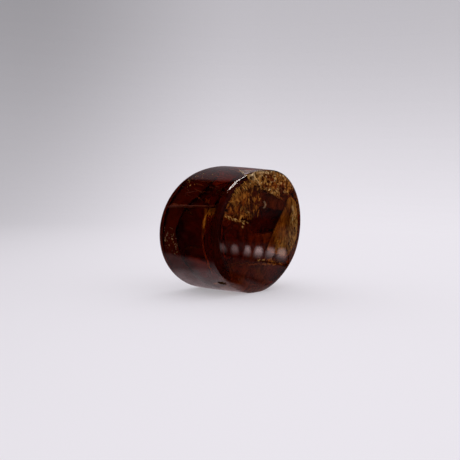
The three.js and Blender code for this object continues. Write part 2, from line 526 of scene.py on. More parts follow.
def streak(name, carrier, path, material, seed, dive=1.5, wander=0.05, steps=60):
    """path holds (x, y, half width, depth); depth = crest + dive x offset squared, offset from -1 to 1."""
    line = walk(path, steps, closed=False)
    along = np.pad(line[:, :1], ((0, 0), (0, 2)))
    centre_line = line[:, :2] + wander * ripple(along, WANDER_PITCH, seed)[:, None]
    run = np.gradient(centre_line, axis=0)
    aside = np.stack([-run[:, 1], run[:, 0]], -1) / np.hypot(*run.T)[:, None]
    offset = np.linspace(-1, 1, STREAK_ACROSS)
    taper = np.sqrt(np.sin(np.pi * np.linspace(*STREAK_TAPER, steps)))
    place = centre_line[:, None] + (line[:, 2] * taper)[:, None, None] * offset[:, None] * aside[:, None]
    crest = line[:, 3] + CREST_WAVES * ripple(along, CREST_PITCH, seed + 1)
    down = np.maximum(crest[:, None] + dive * offset**2, KEEP_IN)
    near_side = carrier(place[..., 0], place[..., 1], down)
    far_side = carrier(place[..., 0], place[..., 1], down + STREAK_THICKNESS)
    loops = np.concatenate([near_side, far_side[:, ::-1]], 1)
    points, faces = closed_skin(loops[0].mean(0), loops, loops[-1].mean(0))
    return inclusion(put_in_scene(name, points, faces, material))


print("a streak is", STREAK_ACROSS, "points wide and", STREAK_THICKNESS, "mm thick")

# %% [markdown]
# ## What lies inside: flecks
# Over the films float well over a thousand loose flakes, a tenth of a millimetre to a millimetre long,
# each a flattened crystal with six corners and two blunt tips. Particles would do for a picture but can't
# be exported, so each cloud is one joined mesh: the same eight points moved, turned and stretched by
# whole arrays of places, directions and sizes.

# %% Flecks
FLECK_CORNERS = 6
FLECK_THICKNESS = 0.25  # share of the width
FLECK_WIDTHS = (0.6, 1.4)  # narrowest and widest, as shares of the usual
OUTLINE_STEPS = 200
SKIN_STEP = 0.05  # mm, over which the skin's own two directions are measured
bearing_of_corner = np.linspace(0, 2 * np.pi, FLECK_CORNERS, endpoint=False)
fleck_points = np.zeros((FLECK_CORNERS + 2, 3))
fleck_points[:FLECK_CORNERS, 0] = np.cos(bearing_of_corner)
fleck_points[:FLECK_CORNERS, 1] = np.sin(bearing_of_corner)
fleck_points[FLECK_CORNERS:, 2] = (-1, 1)
first = np.arange(FLECK_CORNERS)
second = (first + 1) % FLECK_CORNERS
fleck_faces = np.concatenate([
    np.stack([first, second, 0 * first + FLECK_CORNERS + 1], -1),
    np.stack([second, first, 0 * first + FLECK_CORNERS], -1),
])


def flecks(name, carrier, corners, count, depth, size, material, seed, turn=None, spread=0.4, lean=0.5,
           slim=0.4, crowding=0.5):
    """count flakes between two depths and two sizes; long axes at turn +- spread radians, or any way.

    Each point = place + length x long axis x X + width x short axis x Y + thickness x facing x Z, where
    X, Y and Z are half of a fleck's own points. A low crowding gathers the flakes towards the outline.
    """
    rng = np.random.default_rng(seed)
    outline = walk([corner[:2] for corner in corners], OUTLINE_STEPS)
    middle = outline.mean(0)
    out = rng.random(count)[:, None] ** crowding
    place = middle + out * (outline[rng.integers(0, OUTLINE_STEPS, count)] - middle)
    down = rng.uniform(*depth, count)
    at = carrier(place[:, 0], place[:, 1], down)
    along = carrier(place[:, 0] + SKIN_STEP, place[:, 1], down) - at
    aside = carrier(place[:, 0], place[:, 1] + SKIN_STEP, down) - at
    way = rng.uniform(0, np.pi, count) if turn is None else turn + spread * rng.normal(size=count)
    long_axis = np.cos(way)[:, None] * along + np.sin(way)[:, None] * aside
    long_axis /= np.linalg.norm(long_axis, axis=1, keepdims=True)
    facing = np.cross(along, aside)
    facing = facing / np.linalg.norm(facing, axis=1, keepdims=True) + lean * rng.normal(size=(count, 3))
    facing -= (facing * long_axis).sum(1, keepdims=True) * long_axis
    facing /= np.linalg.norm(facing, axis=1, keepdims=True)
    short_axis = np.cross(facing, long_axis)
    length = rng.uniform(0, 1, count) ** 2 * (size[1] - size[0]) + size[0]
    width = length * slim * rng.uniform(*FLECK_WIDTHS, count)
    length, width = length[:, None], width[:, None]
    frames = np.stack([length * long_axis, width * short_axis, FLECK_THICKNESS * width * facing], 1)
    points = at[:, None] + np.einsum("pk,nkx->npx", fleck_points / 2, frames)
    starts = np.arange(count)[:, None, None] * len(fleck_points)
    faces = (starts + fleck_faces).reshape(-1, 3).tolist()
    piece = put_in_scene(name, points.reshape(-1, 3), faces, material)
    piece.data.shade_flat()
    return inclusion(piece)


print("a fleck has", len(fleck_points), "points and", len(fleck_faces), "faces")

# %% [markdown]
# ## What lies inside: the films' own finish
# A healed crack is a dust of minute bubbles and flakes, so it is matt and nearly colourless, cream where
# it is dense and dusky where it is thin; all its gold comes from the stone in front of it. The mottling
# is procedural: a noise in the stone's own coordinates, with blotches one or two millimetres across on
# the films and a fifth of a millimetre on the flakes, drawn out upwards where the film has a grain.

# %% Healed-crack films, chips and dark flakes
def film(name, pale, dark, grain, upright, contrast):
    """A matt film mottled between two colours; grain is in mm, and upright under 1 draws it out along z."""
    material = empty_material(name)
    tree = material.node_tree
    spot = add(tree, "ShaderNodeTexCoord")
    drawn = add(tree, "ShaderNodeMapping", {"Vector": spot.outputs["Object"], "Scale": (1, 1, upright)})
    mottling = add(tree, "ShaderNodeTexNoise", {
        "Vector": drawn.outputs[0],
        "Scale": 1 / (grain * MM),
        "Detail": 3.0,
        "Roughness": 0.6,
        "Distortion": 1.2,
    })
    share = add(tree, "ShaderNodeMapRange", {
        "Value": mottling.outputs["Fac"],
        "From Min": 0.5 - contrast,
        "From Max": 0.5 + contrast,
    }, interpolation_type="SMOOTHSTEP")
    tint = add(tree, "ShaderNodeMix", {
        0: share.outputs[0],
        6: linear(dark),
        7: linear(pale),
    }, data_type="RGBA")
    matt = add(tree, "ShaderNodeBsdfPrincipled", {
        "Base Color": tint.outputs[2],
        "Roughness": 0.6,
        "Specular IOR Level": 0.0,  # inside the stone a film has next to no gloss of its own
    })
    add(tree, "ShaderNodeOutputMaterial", {"Surface": matt.outputs[0]})
    return material


healed_crack = film("healed crack, cream", "#F4E6C8", "#6A5238", 0.95, 0.5, 0.14)  # glows gold
foil_crack = film("healed crack, foil", "#F6E6CC", "#6E5030", 1.1, 1.0, 0.13)  # brighter, like gold leaf
smooth_film = film("fine film, olive", "#CCC2A6", "#7C6C50", 0.9, 0.3, 0.2)  # softly streaked, greener
brown_film = film("brown film", "#A89484", "#746252", 1.6, 0.6, 0.2)  # brown, as it lies deeper
facet_film = film("facet film, brown", "#9A887A", "#6A5A4E", 1.4, 0.6, 0.2)  # the brown film with painted shade, darker against the strong light from the table below
pearly_film = film("pearly film", "#B4A8B0", "#988C96", 0.8, 1.0, 0.2)  # mother-of-pearl near the skin
rosy_crack = film("hair crack, rosy", "#8C5C64", "#643E4C", 0.8, 1.0, 0.25)  # a thin pink line
hair_crack = film("hair crack, grey", "#8E8884", "#4A4440", 0.7, 1.0, 0.2)  # a thin brown line
pale_cloud = film("pale cloud", "#E4D8CA", "#D0C4B6", 1.2, 0.5, 0.22)  # a warm haze
deep_film = film("deep cloud", "#AE9E8C", "#86786A", 2.6, 1.0, 0.22)  # the even red of the depths
# The next three are painted shade: dark sheets put where the stone has only its dark depth.
wine_shade_film = film("wine-red shade film", "#592018", "#461914", 2.0, 0.6, 0.25)  # painted shade: wine red even near the skin
rusty_shade_film = film("rust-red shade film", "#5A1C12", "#3A0E0A", 1.2, 0.6, 0.2)  # painted shade that keeps the rims dark
dark_shade_film = film("dark red shade film", "#44120E", "#280A08", 1.2, 0.6, 0.2)  # painted shade, darker still, behind the bevel
pale_chip = film("pale chip", "#FFF8E8", "#D8C4A4", 0.2, 1.0, 0.2)  # flashes nearly white
gold_flake = film("gold flake", "#F0DEBA", "#A88C60", 0.15, 1.0, 0.2)  # sparks of gold
dusky_flake = film("dusky flake", "#6A4E38", "#2E1C10", 0.2, 1.0, 0.2)  # brown creases and crack lines, and painted shade where a veil creases
dark_flake = film("dark flake", "#3A2418", "#140A06", 0.2, 1.0, 0.2)  # slits and pits, and painted shade among the curtain's flakes
print("finishes:", ", ".join(material.name for material in bpy.data.materials))

# %% [markdown]
# ## The golden veil
# The largest flaw is a healed crack at the left of the front face. It lies a millimetre and a half down,
# so it glows gold, and it sinks towards the middle of the face, where its edge fades out in brown. Loose
# flakes float just above it and break up its mottling, as creases break up a sheet of foil; the dusky
# ones are painted shade in those creases.

# %% The golden veil at the left of the front face
golden_outline = (
    (-7.6, 12.9), (-6.8, 13.9), (-5.6, 14.9), (-4.1, 15.7), (-2.6, 16.1), (-1.4, 15.2, 1.2),
    (-1.0, 13.9, 2.4), (-0.9, 12.4, 2.4), (-1.6, 11.9, 1.4), (-3.2, 11.1, 0.9), (-4.6, 10.8, 0.7),
    (-6.0, 10.8, 0.5), (-7.3, 11.0, 0.2), (-7.8, 12.0),
)
golden_dents = (
    (-4.2, 11.0, 1.9, 0.6), (-7.2, 11.4, 1.5, 0.5), (-6.4, 12.9, 1.2, -0.25), (-5.2, 14.3, 1.3, 0.35),
    (-5.2, 11.8, 1.5, 0.45),
)
veil("golden_veil", under_front, golden_outline, 1.42, healed_crack, seed=11, tilt=(0.07, -0.08),
     crumple=0.2, pitch=2.2, rings=70, around=220, dents=golden_dents)
flecks("golden_flakes", under_front, golden_outline, 90, (0.8, 1.3), (0.3, 1.1), gold_flake, seed=12,
       turn=1.4, spread=0.7, slim=0.35, crowding=0.55)
# painted shade: dusky flakes in the veil's creases
flecks("golden_shadows", under_front, golden_outline, 14, (0.9, 1.3), (0.2, 0.7), dusky_flake, seed=13,
       turn=1.5, spread=0.6, slim=0.3, crowding=0.55)

# %% [markdown]
# ## Combs of fine cracks
# Two families of straight, parallel hair cracks cut the veil: slanting ones under the rim and upright ones
# along its foot. Each comb is a crowd of very slim flakes that share one direction, some pale, some dusky.
# One short golden line crosses the left end of the veil.

# %% Combs of fine cracks
rim_comb = (
    (-7.4, 13.1), (-6.5, 14.0), (-5.3, 14.9), (-3.9, 15.6), (-2.8, 15.4), (-4.2, 14.2), (-6.0, 13.4),
    (-7.0, 12.6),
)
flecks("rim_comb_pale", under_front, rim_comb, 70, (0.6, 1.0), (0.3, 1.0), gold_flake, seed=14, turn=2.35,
       spread=0.18, slim=0.2)
flecks("rim_comb_dark", under_front, rim_comb, 60, (0.7, 1.1), (0.3, 1.0), dusky_flake, seed=15, turn=2.35,
       spread=0.18, slim=0.22)
foot_comb = ((-5.4, 12.3), (-2.0, 12.6), (-1.2, 11.2), (-3.0, 10.7), (-5.2, 11.0))
flecks("foot_comb_pale", under_front, foot_comb, 40, (1.0, 1.5), (0.5, 1.4), gold_flake, seed=16, turn=1.6,
       spread=0.12, slim=0.2)
flecks("foot_comb_dark", under_front, foot_comb, 36, (0.8, 1.2), (0.5, 1.4), dusky_flake, seed=17, turn=1.6,
       spread=0.12, slim=0.2)
streak("golden_line", under_front, (
    (-7.5, 13.0, 0.12, 0.9), (-7.0, 12.85, 0.14, 0.8), (-6.4, 12.95, 0.14, 0.8),
    (-5.8, 13.2, 0.12, 0.9),
), pale_chip, seed=18, dive=0.5)

# %% [markdown]
# ## The golden band
# A second healed crack arches under the top of the face, so close to the polish that it looks like gold
# leaf. It has a brighter foil finish, a hollow that lies deeper and so looks orange, and the whitest
# chips. A small dark comb, one pale stroke and the lip that hangs below the band are pieces of their own.

# %% The golden band under the top of the front face
FLAKE_CEILING = 16.9  # mm up; higher, a tilted flake would come out through the bevel
top_outline = (
    (-3.6, 16.2), (-2.1, 16.9), (0.2, 17.3), (2.6, 17.4), (4.9, 16.9), (6.9, 15.9), (7.9, 14.7),
    (6.6, 14.1, 0.5), (4.4, 13.8, 0.7), (2.9, 13.9, 0.5), (1.4, 14.3, 0.4), (-0.4, 14.7, 0.5),
    (-2.0, 14.9, 0.8), (-3.2, 15.3, 0.5),
)
top_dents = (
    (0.9, 15.8, 1.5, 1.6), (3.6, 15.4, 2.4, 0.5), (-1.7, 15.6, 0.9, -0.2), (-2.6, 16.1, 1.2, -0.25),
    (4.8, 15.9, 0.8, 0.5), (3.2, 14.6, 1.2, 0.5), (2.3, 16.2, 1.2, 0.5), (4.6, 14.7, 1.3, 0.6),
)
veil("top_veil", under_front, top_outline, 1.0, foil_crack, seed=21, tilt=(0.02, -0.36), crumple=0.17,
     pitch=2.3, tear=0.02, rings=60, around=220, dents=top_dents)
flake_outline = [(across, min(height, FLAKE_CEILING)) for across, height, *_ in top_outline]
flecks("top_flakes", under_front, flake_outline, 90, (0.62, 1.0), (0.3, 1.0), gold_flake, seed=22, slim=0.5,
       crowding=0.6)
flecks("top_chips", under_front, top_outline, 36, (0.25, 0.6), (0.25, 0.7), pale_chip, seed=23, slim=0.5,
       crowding=0.6)
# painted shade: dusky flakes in the band's creases
flecks("top_shadows", under_front, top_outline, 10, (0.5, 0.9), (0.2, 0.6), dusky_flake, seed=24, slim=0.4,
       crowding=0.6)
flecks("cross_comb", under_front, ((-2.2, 14.9), (-0.4, 15.3), (-0.3, 14.4), (-1.9, 14.0)), 26, (0.8, 1.1),
       (0.4, 0.9), dusky_flake, seed=25, turn=2.3, spread=0.12, slim=0.25)
streak("pale_stroke", under_front, (
    (-2.3, 16.4, 0.2, 0.45), (-1.6, 15.9, 0.25, 0.4), (-1.0, 15.4, 0.25, 0.4), (-0.6, 15.0, 0.15, 0.45),
), pale_chip, seed=26, dive=0.5)
streak("lower_lip", under_front, (
    (-0.4, 14.9, 0.15, 0.8), (1.0, 14.4, 0.25, 0.75), (2.2, 14.0, 0.3, 0.8), (3.6, 13.6, 0.25, 1.0),
    (5.0, 13.2, 0.15, 1.2),
), healed_crack, seed=27, dive=0.8)

# %% [markdown]
# ## The curtain
# Along the right edge hangs a fine film with one straight slanting side, like a drawn curtain. It is
# smoother than the veils, so it has the olive finish, with flakes and dark slits that hang the same way;
# the dark slits are painted shade.

# %% The curtain along the right of the front face
curtain_outline = (
    (6.2, 14.0, 0.5), (7.2, 14.2, 0.6), (8.5, 12.9, 0.1), (9.0, 11.0), (9.1, 9.0), (9.0, 7.4),
    (8.3, 6.0, 0.4), (7.2, 4.9, 0.6), (6.0, 4.3, 0.8), (4.3, 4.6, 0.8), (2.2, 5.3, 0.6), (1.0, 6.2),
    (1.7, 7.6), (3.0, 9.5), (4.6, 11.4), (5.5, 12.7, 0.1),
)
veil("right_curtain", under_front, curtain_outline, 1.32, smooth_film, seed=31, tilt=(-0.14, 0.0),
     crumple=0.16, pitch=1.8, tear=0.008, rings=60, around=220,
     dents=((5.0, 6.6, 3.0, -0.5), (5.2, 10.4, 1.6, 0.2)))
flecks("curtain_flakes", under_front, (
    (7.2, 12.6), (8.7, 12.2), (8.9, 9.0), (8.4, 6.4), (7.0, 5.6), (6.6, 8.0),
), 150, (0.4, 0.9), (0.2, 0.9), gold_flake, seed=32, turn=1.5, spread=0.3, slim=0.32)
# painted shade: dark flakes among the curtain's flakes
flecks("curtain_shadows", under_front, (
    (7.4, 10.5), (8.8, 10.4), (8.8, 6.6), (7.6, 5.2), (6.0, 5.4), (6.8, 8.0),
), 60, (0.4, 0.9), (0.2, 1.1), dark_flake, seed=33, turn=1.5, spread=0.25, slim=0.22)

# %% [markdown]
# ## Brown films farther in
# Deeper than two millimetres a film can't look gold: it is brown, and then dusky red. Three of them fill
# the dark middle of the face, one below the other, each ending in a break where the next one starts, and
# a cloud behind them all closes the view.

# %% Brown films deeper behind the front face
veil("middle_veil", under_front, (
    (-6.8, 12.6), (-4.6, 14.6), (-1.4, 15.4), (1.9, 15.2), (5.0, 15.0), (7.4, 13.9, 0.4),
    (8.0, 12.4, 0.4), (6.6, 12.1, 0.2), (4.7, 11.6, 0.12), (0.9, 11.8, 0.3), (-1.4, 11.8, 0.9),
    (-4.0, 10.2, 1.4), (-6.8, 10.6),
), 2.25, brown_film, seed=41, tilt=(0.0, -0.08), crumple=0.12, pitch=3.0, tear=0.01,
     dents=((0.3, 13.9, 1.6, 0.5), (-1.6, 12.8, 1.6, -0.25)))
veil("lower_left_veil", under_front, (
    (-7.7, 11.3), (-5.0, 11.2, 0.6), (-3.6, 10.8, 0.8), (-2.2, 9.2, 0.5), (0.2, 8.6, 0.4),
    (2.8, 8.8, 0.8), (3.2, 7.0), (3.0, 4.3), (0.4, 4.2), (-2.6, 4.4), (-5.2, 4.6), (-6.9, 5.0),
    (-7.8, 8.2),
), 2.95, brown_film, seed=42, tilt=(-0.09, 0.0), crumple=0.2, pitch=3.0, tear=0.015,
     dents=((-6.8, 8.6, 2.2, 0.7), (-5.6, 10.6, 1.8, -1.1), (0.4, 7.2, 1.8, -0.3)))
# its finish is painted shade: the brown film darkened, as the table below lights this veil strongly
veil("facet_veil", under_front, (
    (-7.2, 4.9), (-5.2, 5.0), (-2.3, 4.7), (0.5, 4.5), (3.6, 4.3), (6.8, 4.2, 0.4), (6.6, 2.8, 1.0),
    (4.7, 1.6, 0.6), (1.4, 1.0, 0.3), (-1.9, 1.3, 0.2), (-4.8, 2.2), (-6.6, 3.6),
), 2.6, facet_film, seed=43, crumple=0.2, pitch=2.5, tear=0.02,
     dents=((0.2, 3.6, 1.9, -1.15), (4.4, 2.6, 2.4, 1.8)))
veil("front_cloud", under_front, (
    (-8.6, 8.0), (-7.6, 11.5), (-4.0, 13.5), (0.0, 14.0), (4.6, 12.4), (6.4, 9.0), (6.4, 5.0),
    (5.0, 2.6), (2.0, 0.9), (-2.0, 0.9), (-6.0, 2.6),
), 4.4, deep_film, seed=44, crumple=0.3, pitch=4.0, dents=((0.0, 4.8, 5.0, -0.9),))

# %% [markdown]
# ## The back of the stone
# A cloud lies behind the back face; without it the eye would look right through the stone. A wine-red film
# under the back of the long side and a dark one round
# the rim are painted shade: dark sheets that keep that part dark and its gold from shining out there.

# %% A cloud behind the back face, and dark films of painted shade round its rim
def rim_path(end, radius, degrees, half_width, depth):
    """A streak's path along an end's rim: radius x section at each of the given degrees."""
    at = np.radians(degrees)
    reach = radius * section(at)
    ring = end.axis[1:, None] - centre[1:, None] + reach * np.array([np.cos(at), np.sin(at)])
    return [(*spot, half_width, depth) for spot in ring.T]


CLOUD_MIDDLE, CLOUD_HALF = (0.9, 9.0), (7.6, 8.0)
round_it = np.radians(np.arange(0, 360, 20))
back_outline = (np.stack([np.cos(round_it), np.sin(round_it)], -1) * CLOUD_HALF + CLOUD_MIDDLE).tolist()
veil("back_cloud", under_back, back_outline, 1.2, deep_film, seed=51, crumple=0.4, pitch=5.0, tear=0.012,
     rings=60, around=220,
     dents=((-3.0, 12.0, 4.0, -0.6), (4.0, 6.0, 4.5, 1.2), (3.5, 13.0, 3.0, -0.4), (-5.5, 5.5, 3.0, 0.8)))
# painted shade: a wine-red sheet that keeps the back of the long side dark
veil("back_shade", under_side, on_side(
    (-4.9, 100), (-1.8, 104), (1.4, 118, 0.3), (1.7, 138, 0.3), (1.0, 152, 0.3), (-0.2, 162, 0.3),
    (-1.1, 180, 0.3), (-1.1, 205, 0.3), (-0.9, 230, 0.3), (-0.9, 262), (-4.9, 262), (-4.9, 180),
), 1.0, wine_shade_film, seed=52, tilt=(0.12, -0.03), crumple=0.08, pitch=2.5, tear=0.02)
# painted shade: a dark sheet round the back rim
streak("back_rim_shade", under_back, rim_path(BACK, 8.7, np.arange(104, 262, 6), 0.95, 0.35), rusty_shade_film,
       seed=53, dive=0.3, wander=0.0, steps=90)

# %% [markdown]
# ## Chips
# Where a crack comes almost up to the polish, flat chips along it flash nearly white. About half of them
# stand in a row along the foot of the golden veil. A curled fleck hangs alone in the dark middle, and a
# faint line with golden specks runs along the break above the lower facet.

# %% Chips, the curled fleck and the break line
for number, (across, height, size) in enumerate((
    (-7.9, 11.1, 0.5), (-7.2, 10.8, 0.6), (-6.6, 10.6, 0.7), (-5.8, 10.4, 0.5), (-5.2, 10.3, 0.45),
    (-4.4, 10.2, 0.6), (-3.7, 10.1, 0.4), (-4.6, 9.6, 0.4), (-3.6, 11.6, 0.4), (-0.4, 5.0, 0.6),
    (0.6, 4.8, 0.4), (3.4, 14.8, 0.5), (5.4, 14.6, 0.7), (-1.5, 15.8, 0.9), (-0.8, 15.2, 0.7),
)):
    nearby = [(across - size, height), (across, height - 0.4 * size)]
    nearby += [(across + size, height), (across, height + 0.4 * size)]
    flecks(f"chips_{number}", under_front, nearby, 8, (0.5, 0.8), (0.12, 0.5 * size + 0.15), pale_chip,
           seed=500 + number, turn=2.7, spread=0.5, slim=0.5)
streak("hook_fleck", under_front, (
    (-0.3, 13.0, 0.16, 0.4), (0.1, 12.9, 0.22, 0.35), (0.3, 12.5, 0.26, 0.35), (0.1, 12.15, 0.22, 0.35),
    (-0.3, 12.1, 0.16, 0.4),
), pearly_film, seed=46, dive=0.3, wander=0.0)
streak("break_line", under_front, (
    (-7.0, 5.1, 0.1, 2.1), (-4.6, 4.8, 0.14, 1.9), (-1.6, 4.45, 0.14, 1.8), (1.6, 4.2, 0.16, 1.5),
    (4.6, 3.95, 0.14, 1.3),
), smooth_film, seed=47, dive=0.9, wander=0.08)
flecks("break_speckle", under_front, (
    (0.2, 4.9), (3.4, 4.9), (5.6, 4.4), (6.0, 3.8), (3.0, 4.0), (0.4, 4.2),
), 60, (0.9, 1.8), (0.15, 0.5), gold_flake, seed=45, slim=0.5)

# %% [markdown]
# ## The deep cloud under the long side
# Nearly five millimetres down only red light comes back. A smooth cloud at that depth gives the whole side
# its even wine red, where an empty stone would look black.

# %% A deep cloud under the long side
veil("side_cloud", under_side, on_side(
    (-4.6, 70, 0.5), (-1.5, 62, 0.5), (2.0, 62, 0.5), (4.0, 80, 0.5), (4.3, 120, 0.4), (4.4, 160, 0.4),
    (4.3, 200, 0.4), (4.0, 235, 0.4), (2.5, 262, 0.5), (-1.0, 268, 0.5), (-4.4, 258, 0.5),
    (-4.6, 220, 0.5), (-4.8, 180, 0.5), (-4.7, 120, 0.5),
), 4.7, deep_film, seed=61, crumple=0.4, pitch=6.0, rings=60, around=260)

# %% [markdown]
# ## The fold and the cracks of the long side
# A growth zone folds up near the front and shows as a golden streak that follows the rim, with a golden
# patch in its bend and an olive smear above it. A straight crack runs level from it to the back, seen
# edge-on, with a soft halo round it. All of their corners are given along the prism and in degrees round
# it, which is how one would measure them on the stone.

# %% The golden fold and the cracks of the long side
veil("fold_patch", under_side, on_side(
    (2.5, 159.5, 0.2), (3.5, 158.4, 0.2), (4.9, 158.6, 0.5), (5.0, 163, 0.6), (4.6, 169, 0.8),
    (3.9, 176, 0.9), (3.2, 176, 0.6), (2.5, 168, 0.6),
), 1.7, smooth_film, seed=62, crumple=0.15, pitch=1.5)
streak("fold_crest", under_side, on_side(
    (3.9, 160, 0.2, 1.8), (3.4, 164, 0.35, 1.5), (3.15, 169, 0.5, 1.1), (3.1, 174, 0.5, 1.05),
    (3.0, 179, 0.3, 1.7), (2.75, 186, 0.25, 2.6), (2.75, 192, 0.25, 2.9), (2.72, 199, 0.25, 2.7),
    (2.74, 205, 0.3, 2.2), (2.6, 211, 0.4, 1.8), (2.5, 219, 0.3, 1.7),
), healed_crack, seed=63, dive=2.2)
streak("level_crack", under_side, on_side(
    (-4.4, 163.9, 0.3, 0.3), (-3.2, 163.4, 0.35, 0.25), (-1.8, 162.6, 0.3, 0.25),
    (0.4, 161.3, 0.22, 0.35), (1.8, 160.5, 0.2, 0.4), (3.0, 159.9, 0.2, 0.5), (4.2, 159.4, 0.2, 0.6),
), rosy_crack, seed=64, dive=1.6, wander=0.03)
streak("level_halo", under_side, on_side(
    (-4.9, 163.2, 0.3, 0.9), (-3.6, 162.6, 0.5, 0.7), (-1.8, 162.0, 0.5, 0.8), (0.6, 160.8, 0.3, 1.4),
), rosy_crack, seed=65, dive=0.9, wander=0.03)
for number, (name, start, stop) in enumerate((
    ("slant_crack", (-0.4, 162.9, 0.2, 1.8), (1.3, 166.9, 0.2, 2.0)),
    ("low_crack", (-0.3, 194.2, 0.15, 1.9), (2.5, 192.8, 0.15, 1.9)),
    ("rim_crack", (3.4, 146.9, 0.3, 1.6), (3.9, 139.6, 0.3, 1.5)),
)):
    streak(name, under_side, on_side(start, stop), hair_crack, seed=66 + number)

veil("olive_smear", under_side, on_side(
    (1.6, 148, 0.9), (3.2, 149, 0.8), (4.0, 154, 0.5), (3.8, 158, 0.3), (2.2, 159, 0.5),
), 2.75, smooth_film, seed=55, crumple=0.15, pitch=1.6, rings=30)

# %% [markdown]
# ## Films behind the bevel, and two pale clouds
# A bevel bends the view sideways into the stone, so a film right behind it decides its colour, and two
# dark red ones there are painted shade: dark sheets that keep it dark. Two pale clouds lie high and low
# under the side and warm the bands where the polish mirrors most.

# %% Dark films of painted shade behind the front bevel, and pale clouds high and low
# painted shade: a dark sheet that keeps the view through the front bevel dark
veil("rim_shade", under_side, on_side(
    (2.7, 138), (3.9, 132), (4.0, 150), (4.0, 175), (4.0, 200), (4.0, 218), (3.2, 224), (3.0, 205),
    (3.3, 185), (3.5, 172), (3.7, 160), (3.0, 150),
), 1.7, rusty_shade_film, seed=75, crumple=0.05, pitch=3.0, rings=30, tear=0.0)
veil("top_cloud", under_side, on_side(
    (-4.6, 92, 0.4), (0.0, 88, 0.4), (4.2, 90, 0.4), (4.3, 110, 0.3), (4.2, 134, 0.5), (0.0, 137, 0.6),
    (-3.4, 137, 0.6), (-4.8, 120, 0.5),
), 3.75, pale_cloud, seed=86, crumple=0.16, pitch=3.5)
veil("low_cloud", under_side, on_side(
    (-4.8, 203, 0.5), (1.6, 203, 0.5), (3.4, 212), (3.4, 240), (1.6, 262), (-1.6, 268, 0.4),
    (-4.4, 260), (-4.9, 232),
), 4.0, pale_cloud, seed=76, tilt=(-0.15, 0.0), crumple=0.16, pitch=3.5)

# painted shade: a darker sheet right behind the front bevel
streak("bevel_shade", under_front, rim_path(FRONT, 8.87, np.arange(120, 226, 5), 0.42, 0.7), dark_shade_film,
       seed=85, dive=0.3, wander=0.0, steps=90)

# %% [markdown]
# ## The pearly wedge
# At the top of the rim the stone has parted along a wedge, an eighth of a millimetre under the polish, and
# the thin gap shines like mother-of-pearl. Pale lines mark its edge and the rim beside it.

# %% The pearly wedge and the pale lines
veil("rim_wedge", under_side, on_side(
    (2.5, 104.5), (3.8, 101.5), (5.1, 98), (5.1, 108), (5.1, 119), (4.2, 114),
), 0.13, pearly_film, seed=77, crumple=0.02, tear=0.0, rings=16, around=90)
streak("wedge_line", under_side, on_side(
    (2.5, 104.8, 0.12, 0.14), (3.8, 112.5, 0.14, 0.13), (5.0, 119.5, 0.12, 0.14),
), pale_chip, seed=78, dive=0.1, wander=0.0)
streak("rim_line", under_side, on_side(
    (4.9, 104, 0.1, 0.2), (5.0, 97, 0.16, 0.15), (5.0, 90, 0.16, 0.15), (4.9, 82, 0.1, 0.2),
), pale_chip, seed=79, dive=0.3, wander=0.0)

# %% [markdown]
# ## Loose flakes, hair lines and nicks
# The side has small flakes of its own, and hair lines that run along the prism as growth tubes do. Sparks
# and embers glint along the right of the front face. The polished edge has been knocked a little: a dark
# notch low down, and tiny nicks and chips along the rim. These knocks lie on the skin, so their depths
# are below zero: a few hundredths of a millimetre out.

# %% Loose flakes, hair lines, the notch and the nicks
flecks("side_flakes", under_side, on_side((-3.4, 178), (-1.6, 178), (-1.2, 190), (-1.6, 200), (-3.2, 198)),
       44, (0.4, 0.85), (0.12, 0.45), pearly_film, seed=71, slim=0.5)
flecks("top_side_flakes", under_side, on_side(
    (-3.6, 124), (1.5, 124), (1.8, 140), (-1.5, 146), (-4.0, 150),
), 44, (0.5, 0.9), (0.12, 0.5), gold_flake, seed=72, slim=0.35)
flecks("upper_lines", under_side, on_side((-2.8, 122), (3.4, 118), (3.6, 146), (1.0, 156), (-3.6, 152)), 46,
       (0.35, 1.3), (0.5, 2.4), rosy_crack, seed=83, turn=0.1, spread=0.22, slim=0.06)
flecks("middle_lines", under_front, ((-2.0, 14.6), (5.6, 14.4), (6.4, 12.2), (0.6, 11.8), (-2.6, 12.2)), 34,
       (0.8, 1.6), (0.4, 1.8), rosy_crack, seed=84, turn=1.2, spread=0.5, slim=0.07)
flecks("edge_flakes", under_side, on_side((-4.4, 150), (-3.6, 150), (-3.6, 205), (-4.5, 205)), 60,
       (1.0, 2.6), (0.3, 0.9), gold_flake, seed=73, turn=1.57, spread=0.3, slim=0.35)
flecks("notch", under_side, on_side((2.3, 228.0), (3.1, 228.0), (3.1, 230.6), (2.3, 230.2)), 9,
       (-0.07, -0.04), (0.5, 1.3), dark_flake, seed=74, turn=0.0, spread=0.3, lean=0.05, slim=0.6)
flecks("rim_nicks", under_side, on_side((4.7, 121), (5.0, 121), (5.0, 150), (4.7, 150)), 12,
       (-0.06, -0.02), (0.2, 0.6), dark_flake, seed=87, turn=1.57, spread=0.5, lean=0.1, slim=0.3)
flecks("rim_chips", under_side, on_side((4.75, 98), (5.0, 98), (5.0, 119), (4.75, 119)), 16,
       (-0.05, 0.0), (0.3, 0.9), pearly_film, seed=88, turn=1.57, spread=0.2, lean=0.1, slim=0.2)
flecks("right_sparks", under_front, ((7.3, 12.9), (8.3, 12.4), (8.5, 9.6), (7.4, 9.6)), 26,
       (0.3, 0.7), (0.2, 0.7), pale_chip, seed=81, turn=1.5, spread=0.4, slim=0.3)
flecks("right_embers", under_front, ((7.2, 9.4), (8.6, 9.2), (8.5, 6.2), (7.2, 6.2)), 30,
       (0.7, 1.3), (0.3, 1.0), gold_flake, seed=82, turn=1.3, spread=0.3, slim=0.22)

# %% [markdown]
# ## The far side and the underside
# The hidden side is made of the same things: clouds, a fold, a golden patch, a level crack and drifts of
# flakes, and a veil under the back. They are placed differently, because no two sides of a natural stone
# match.

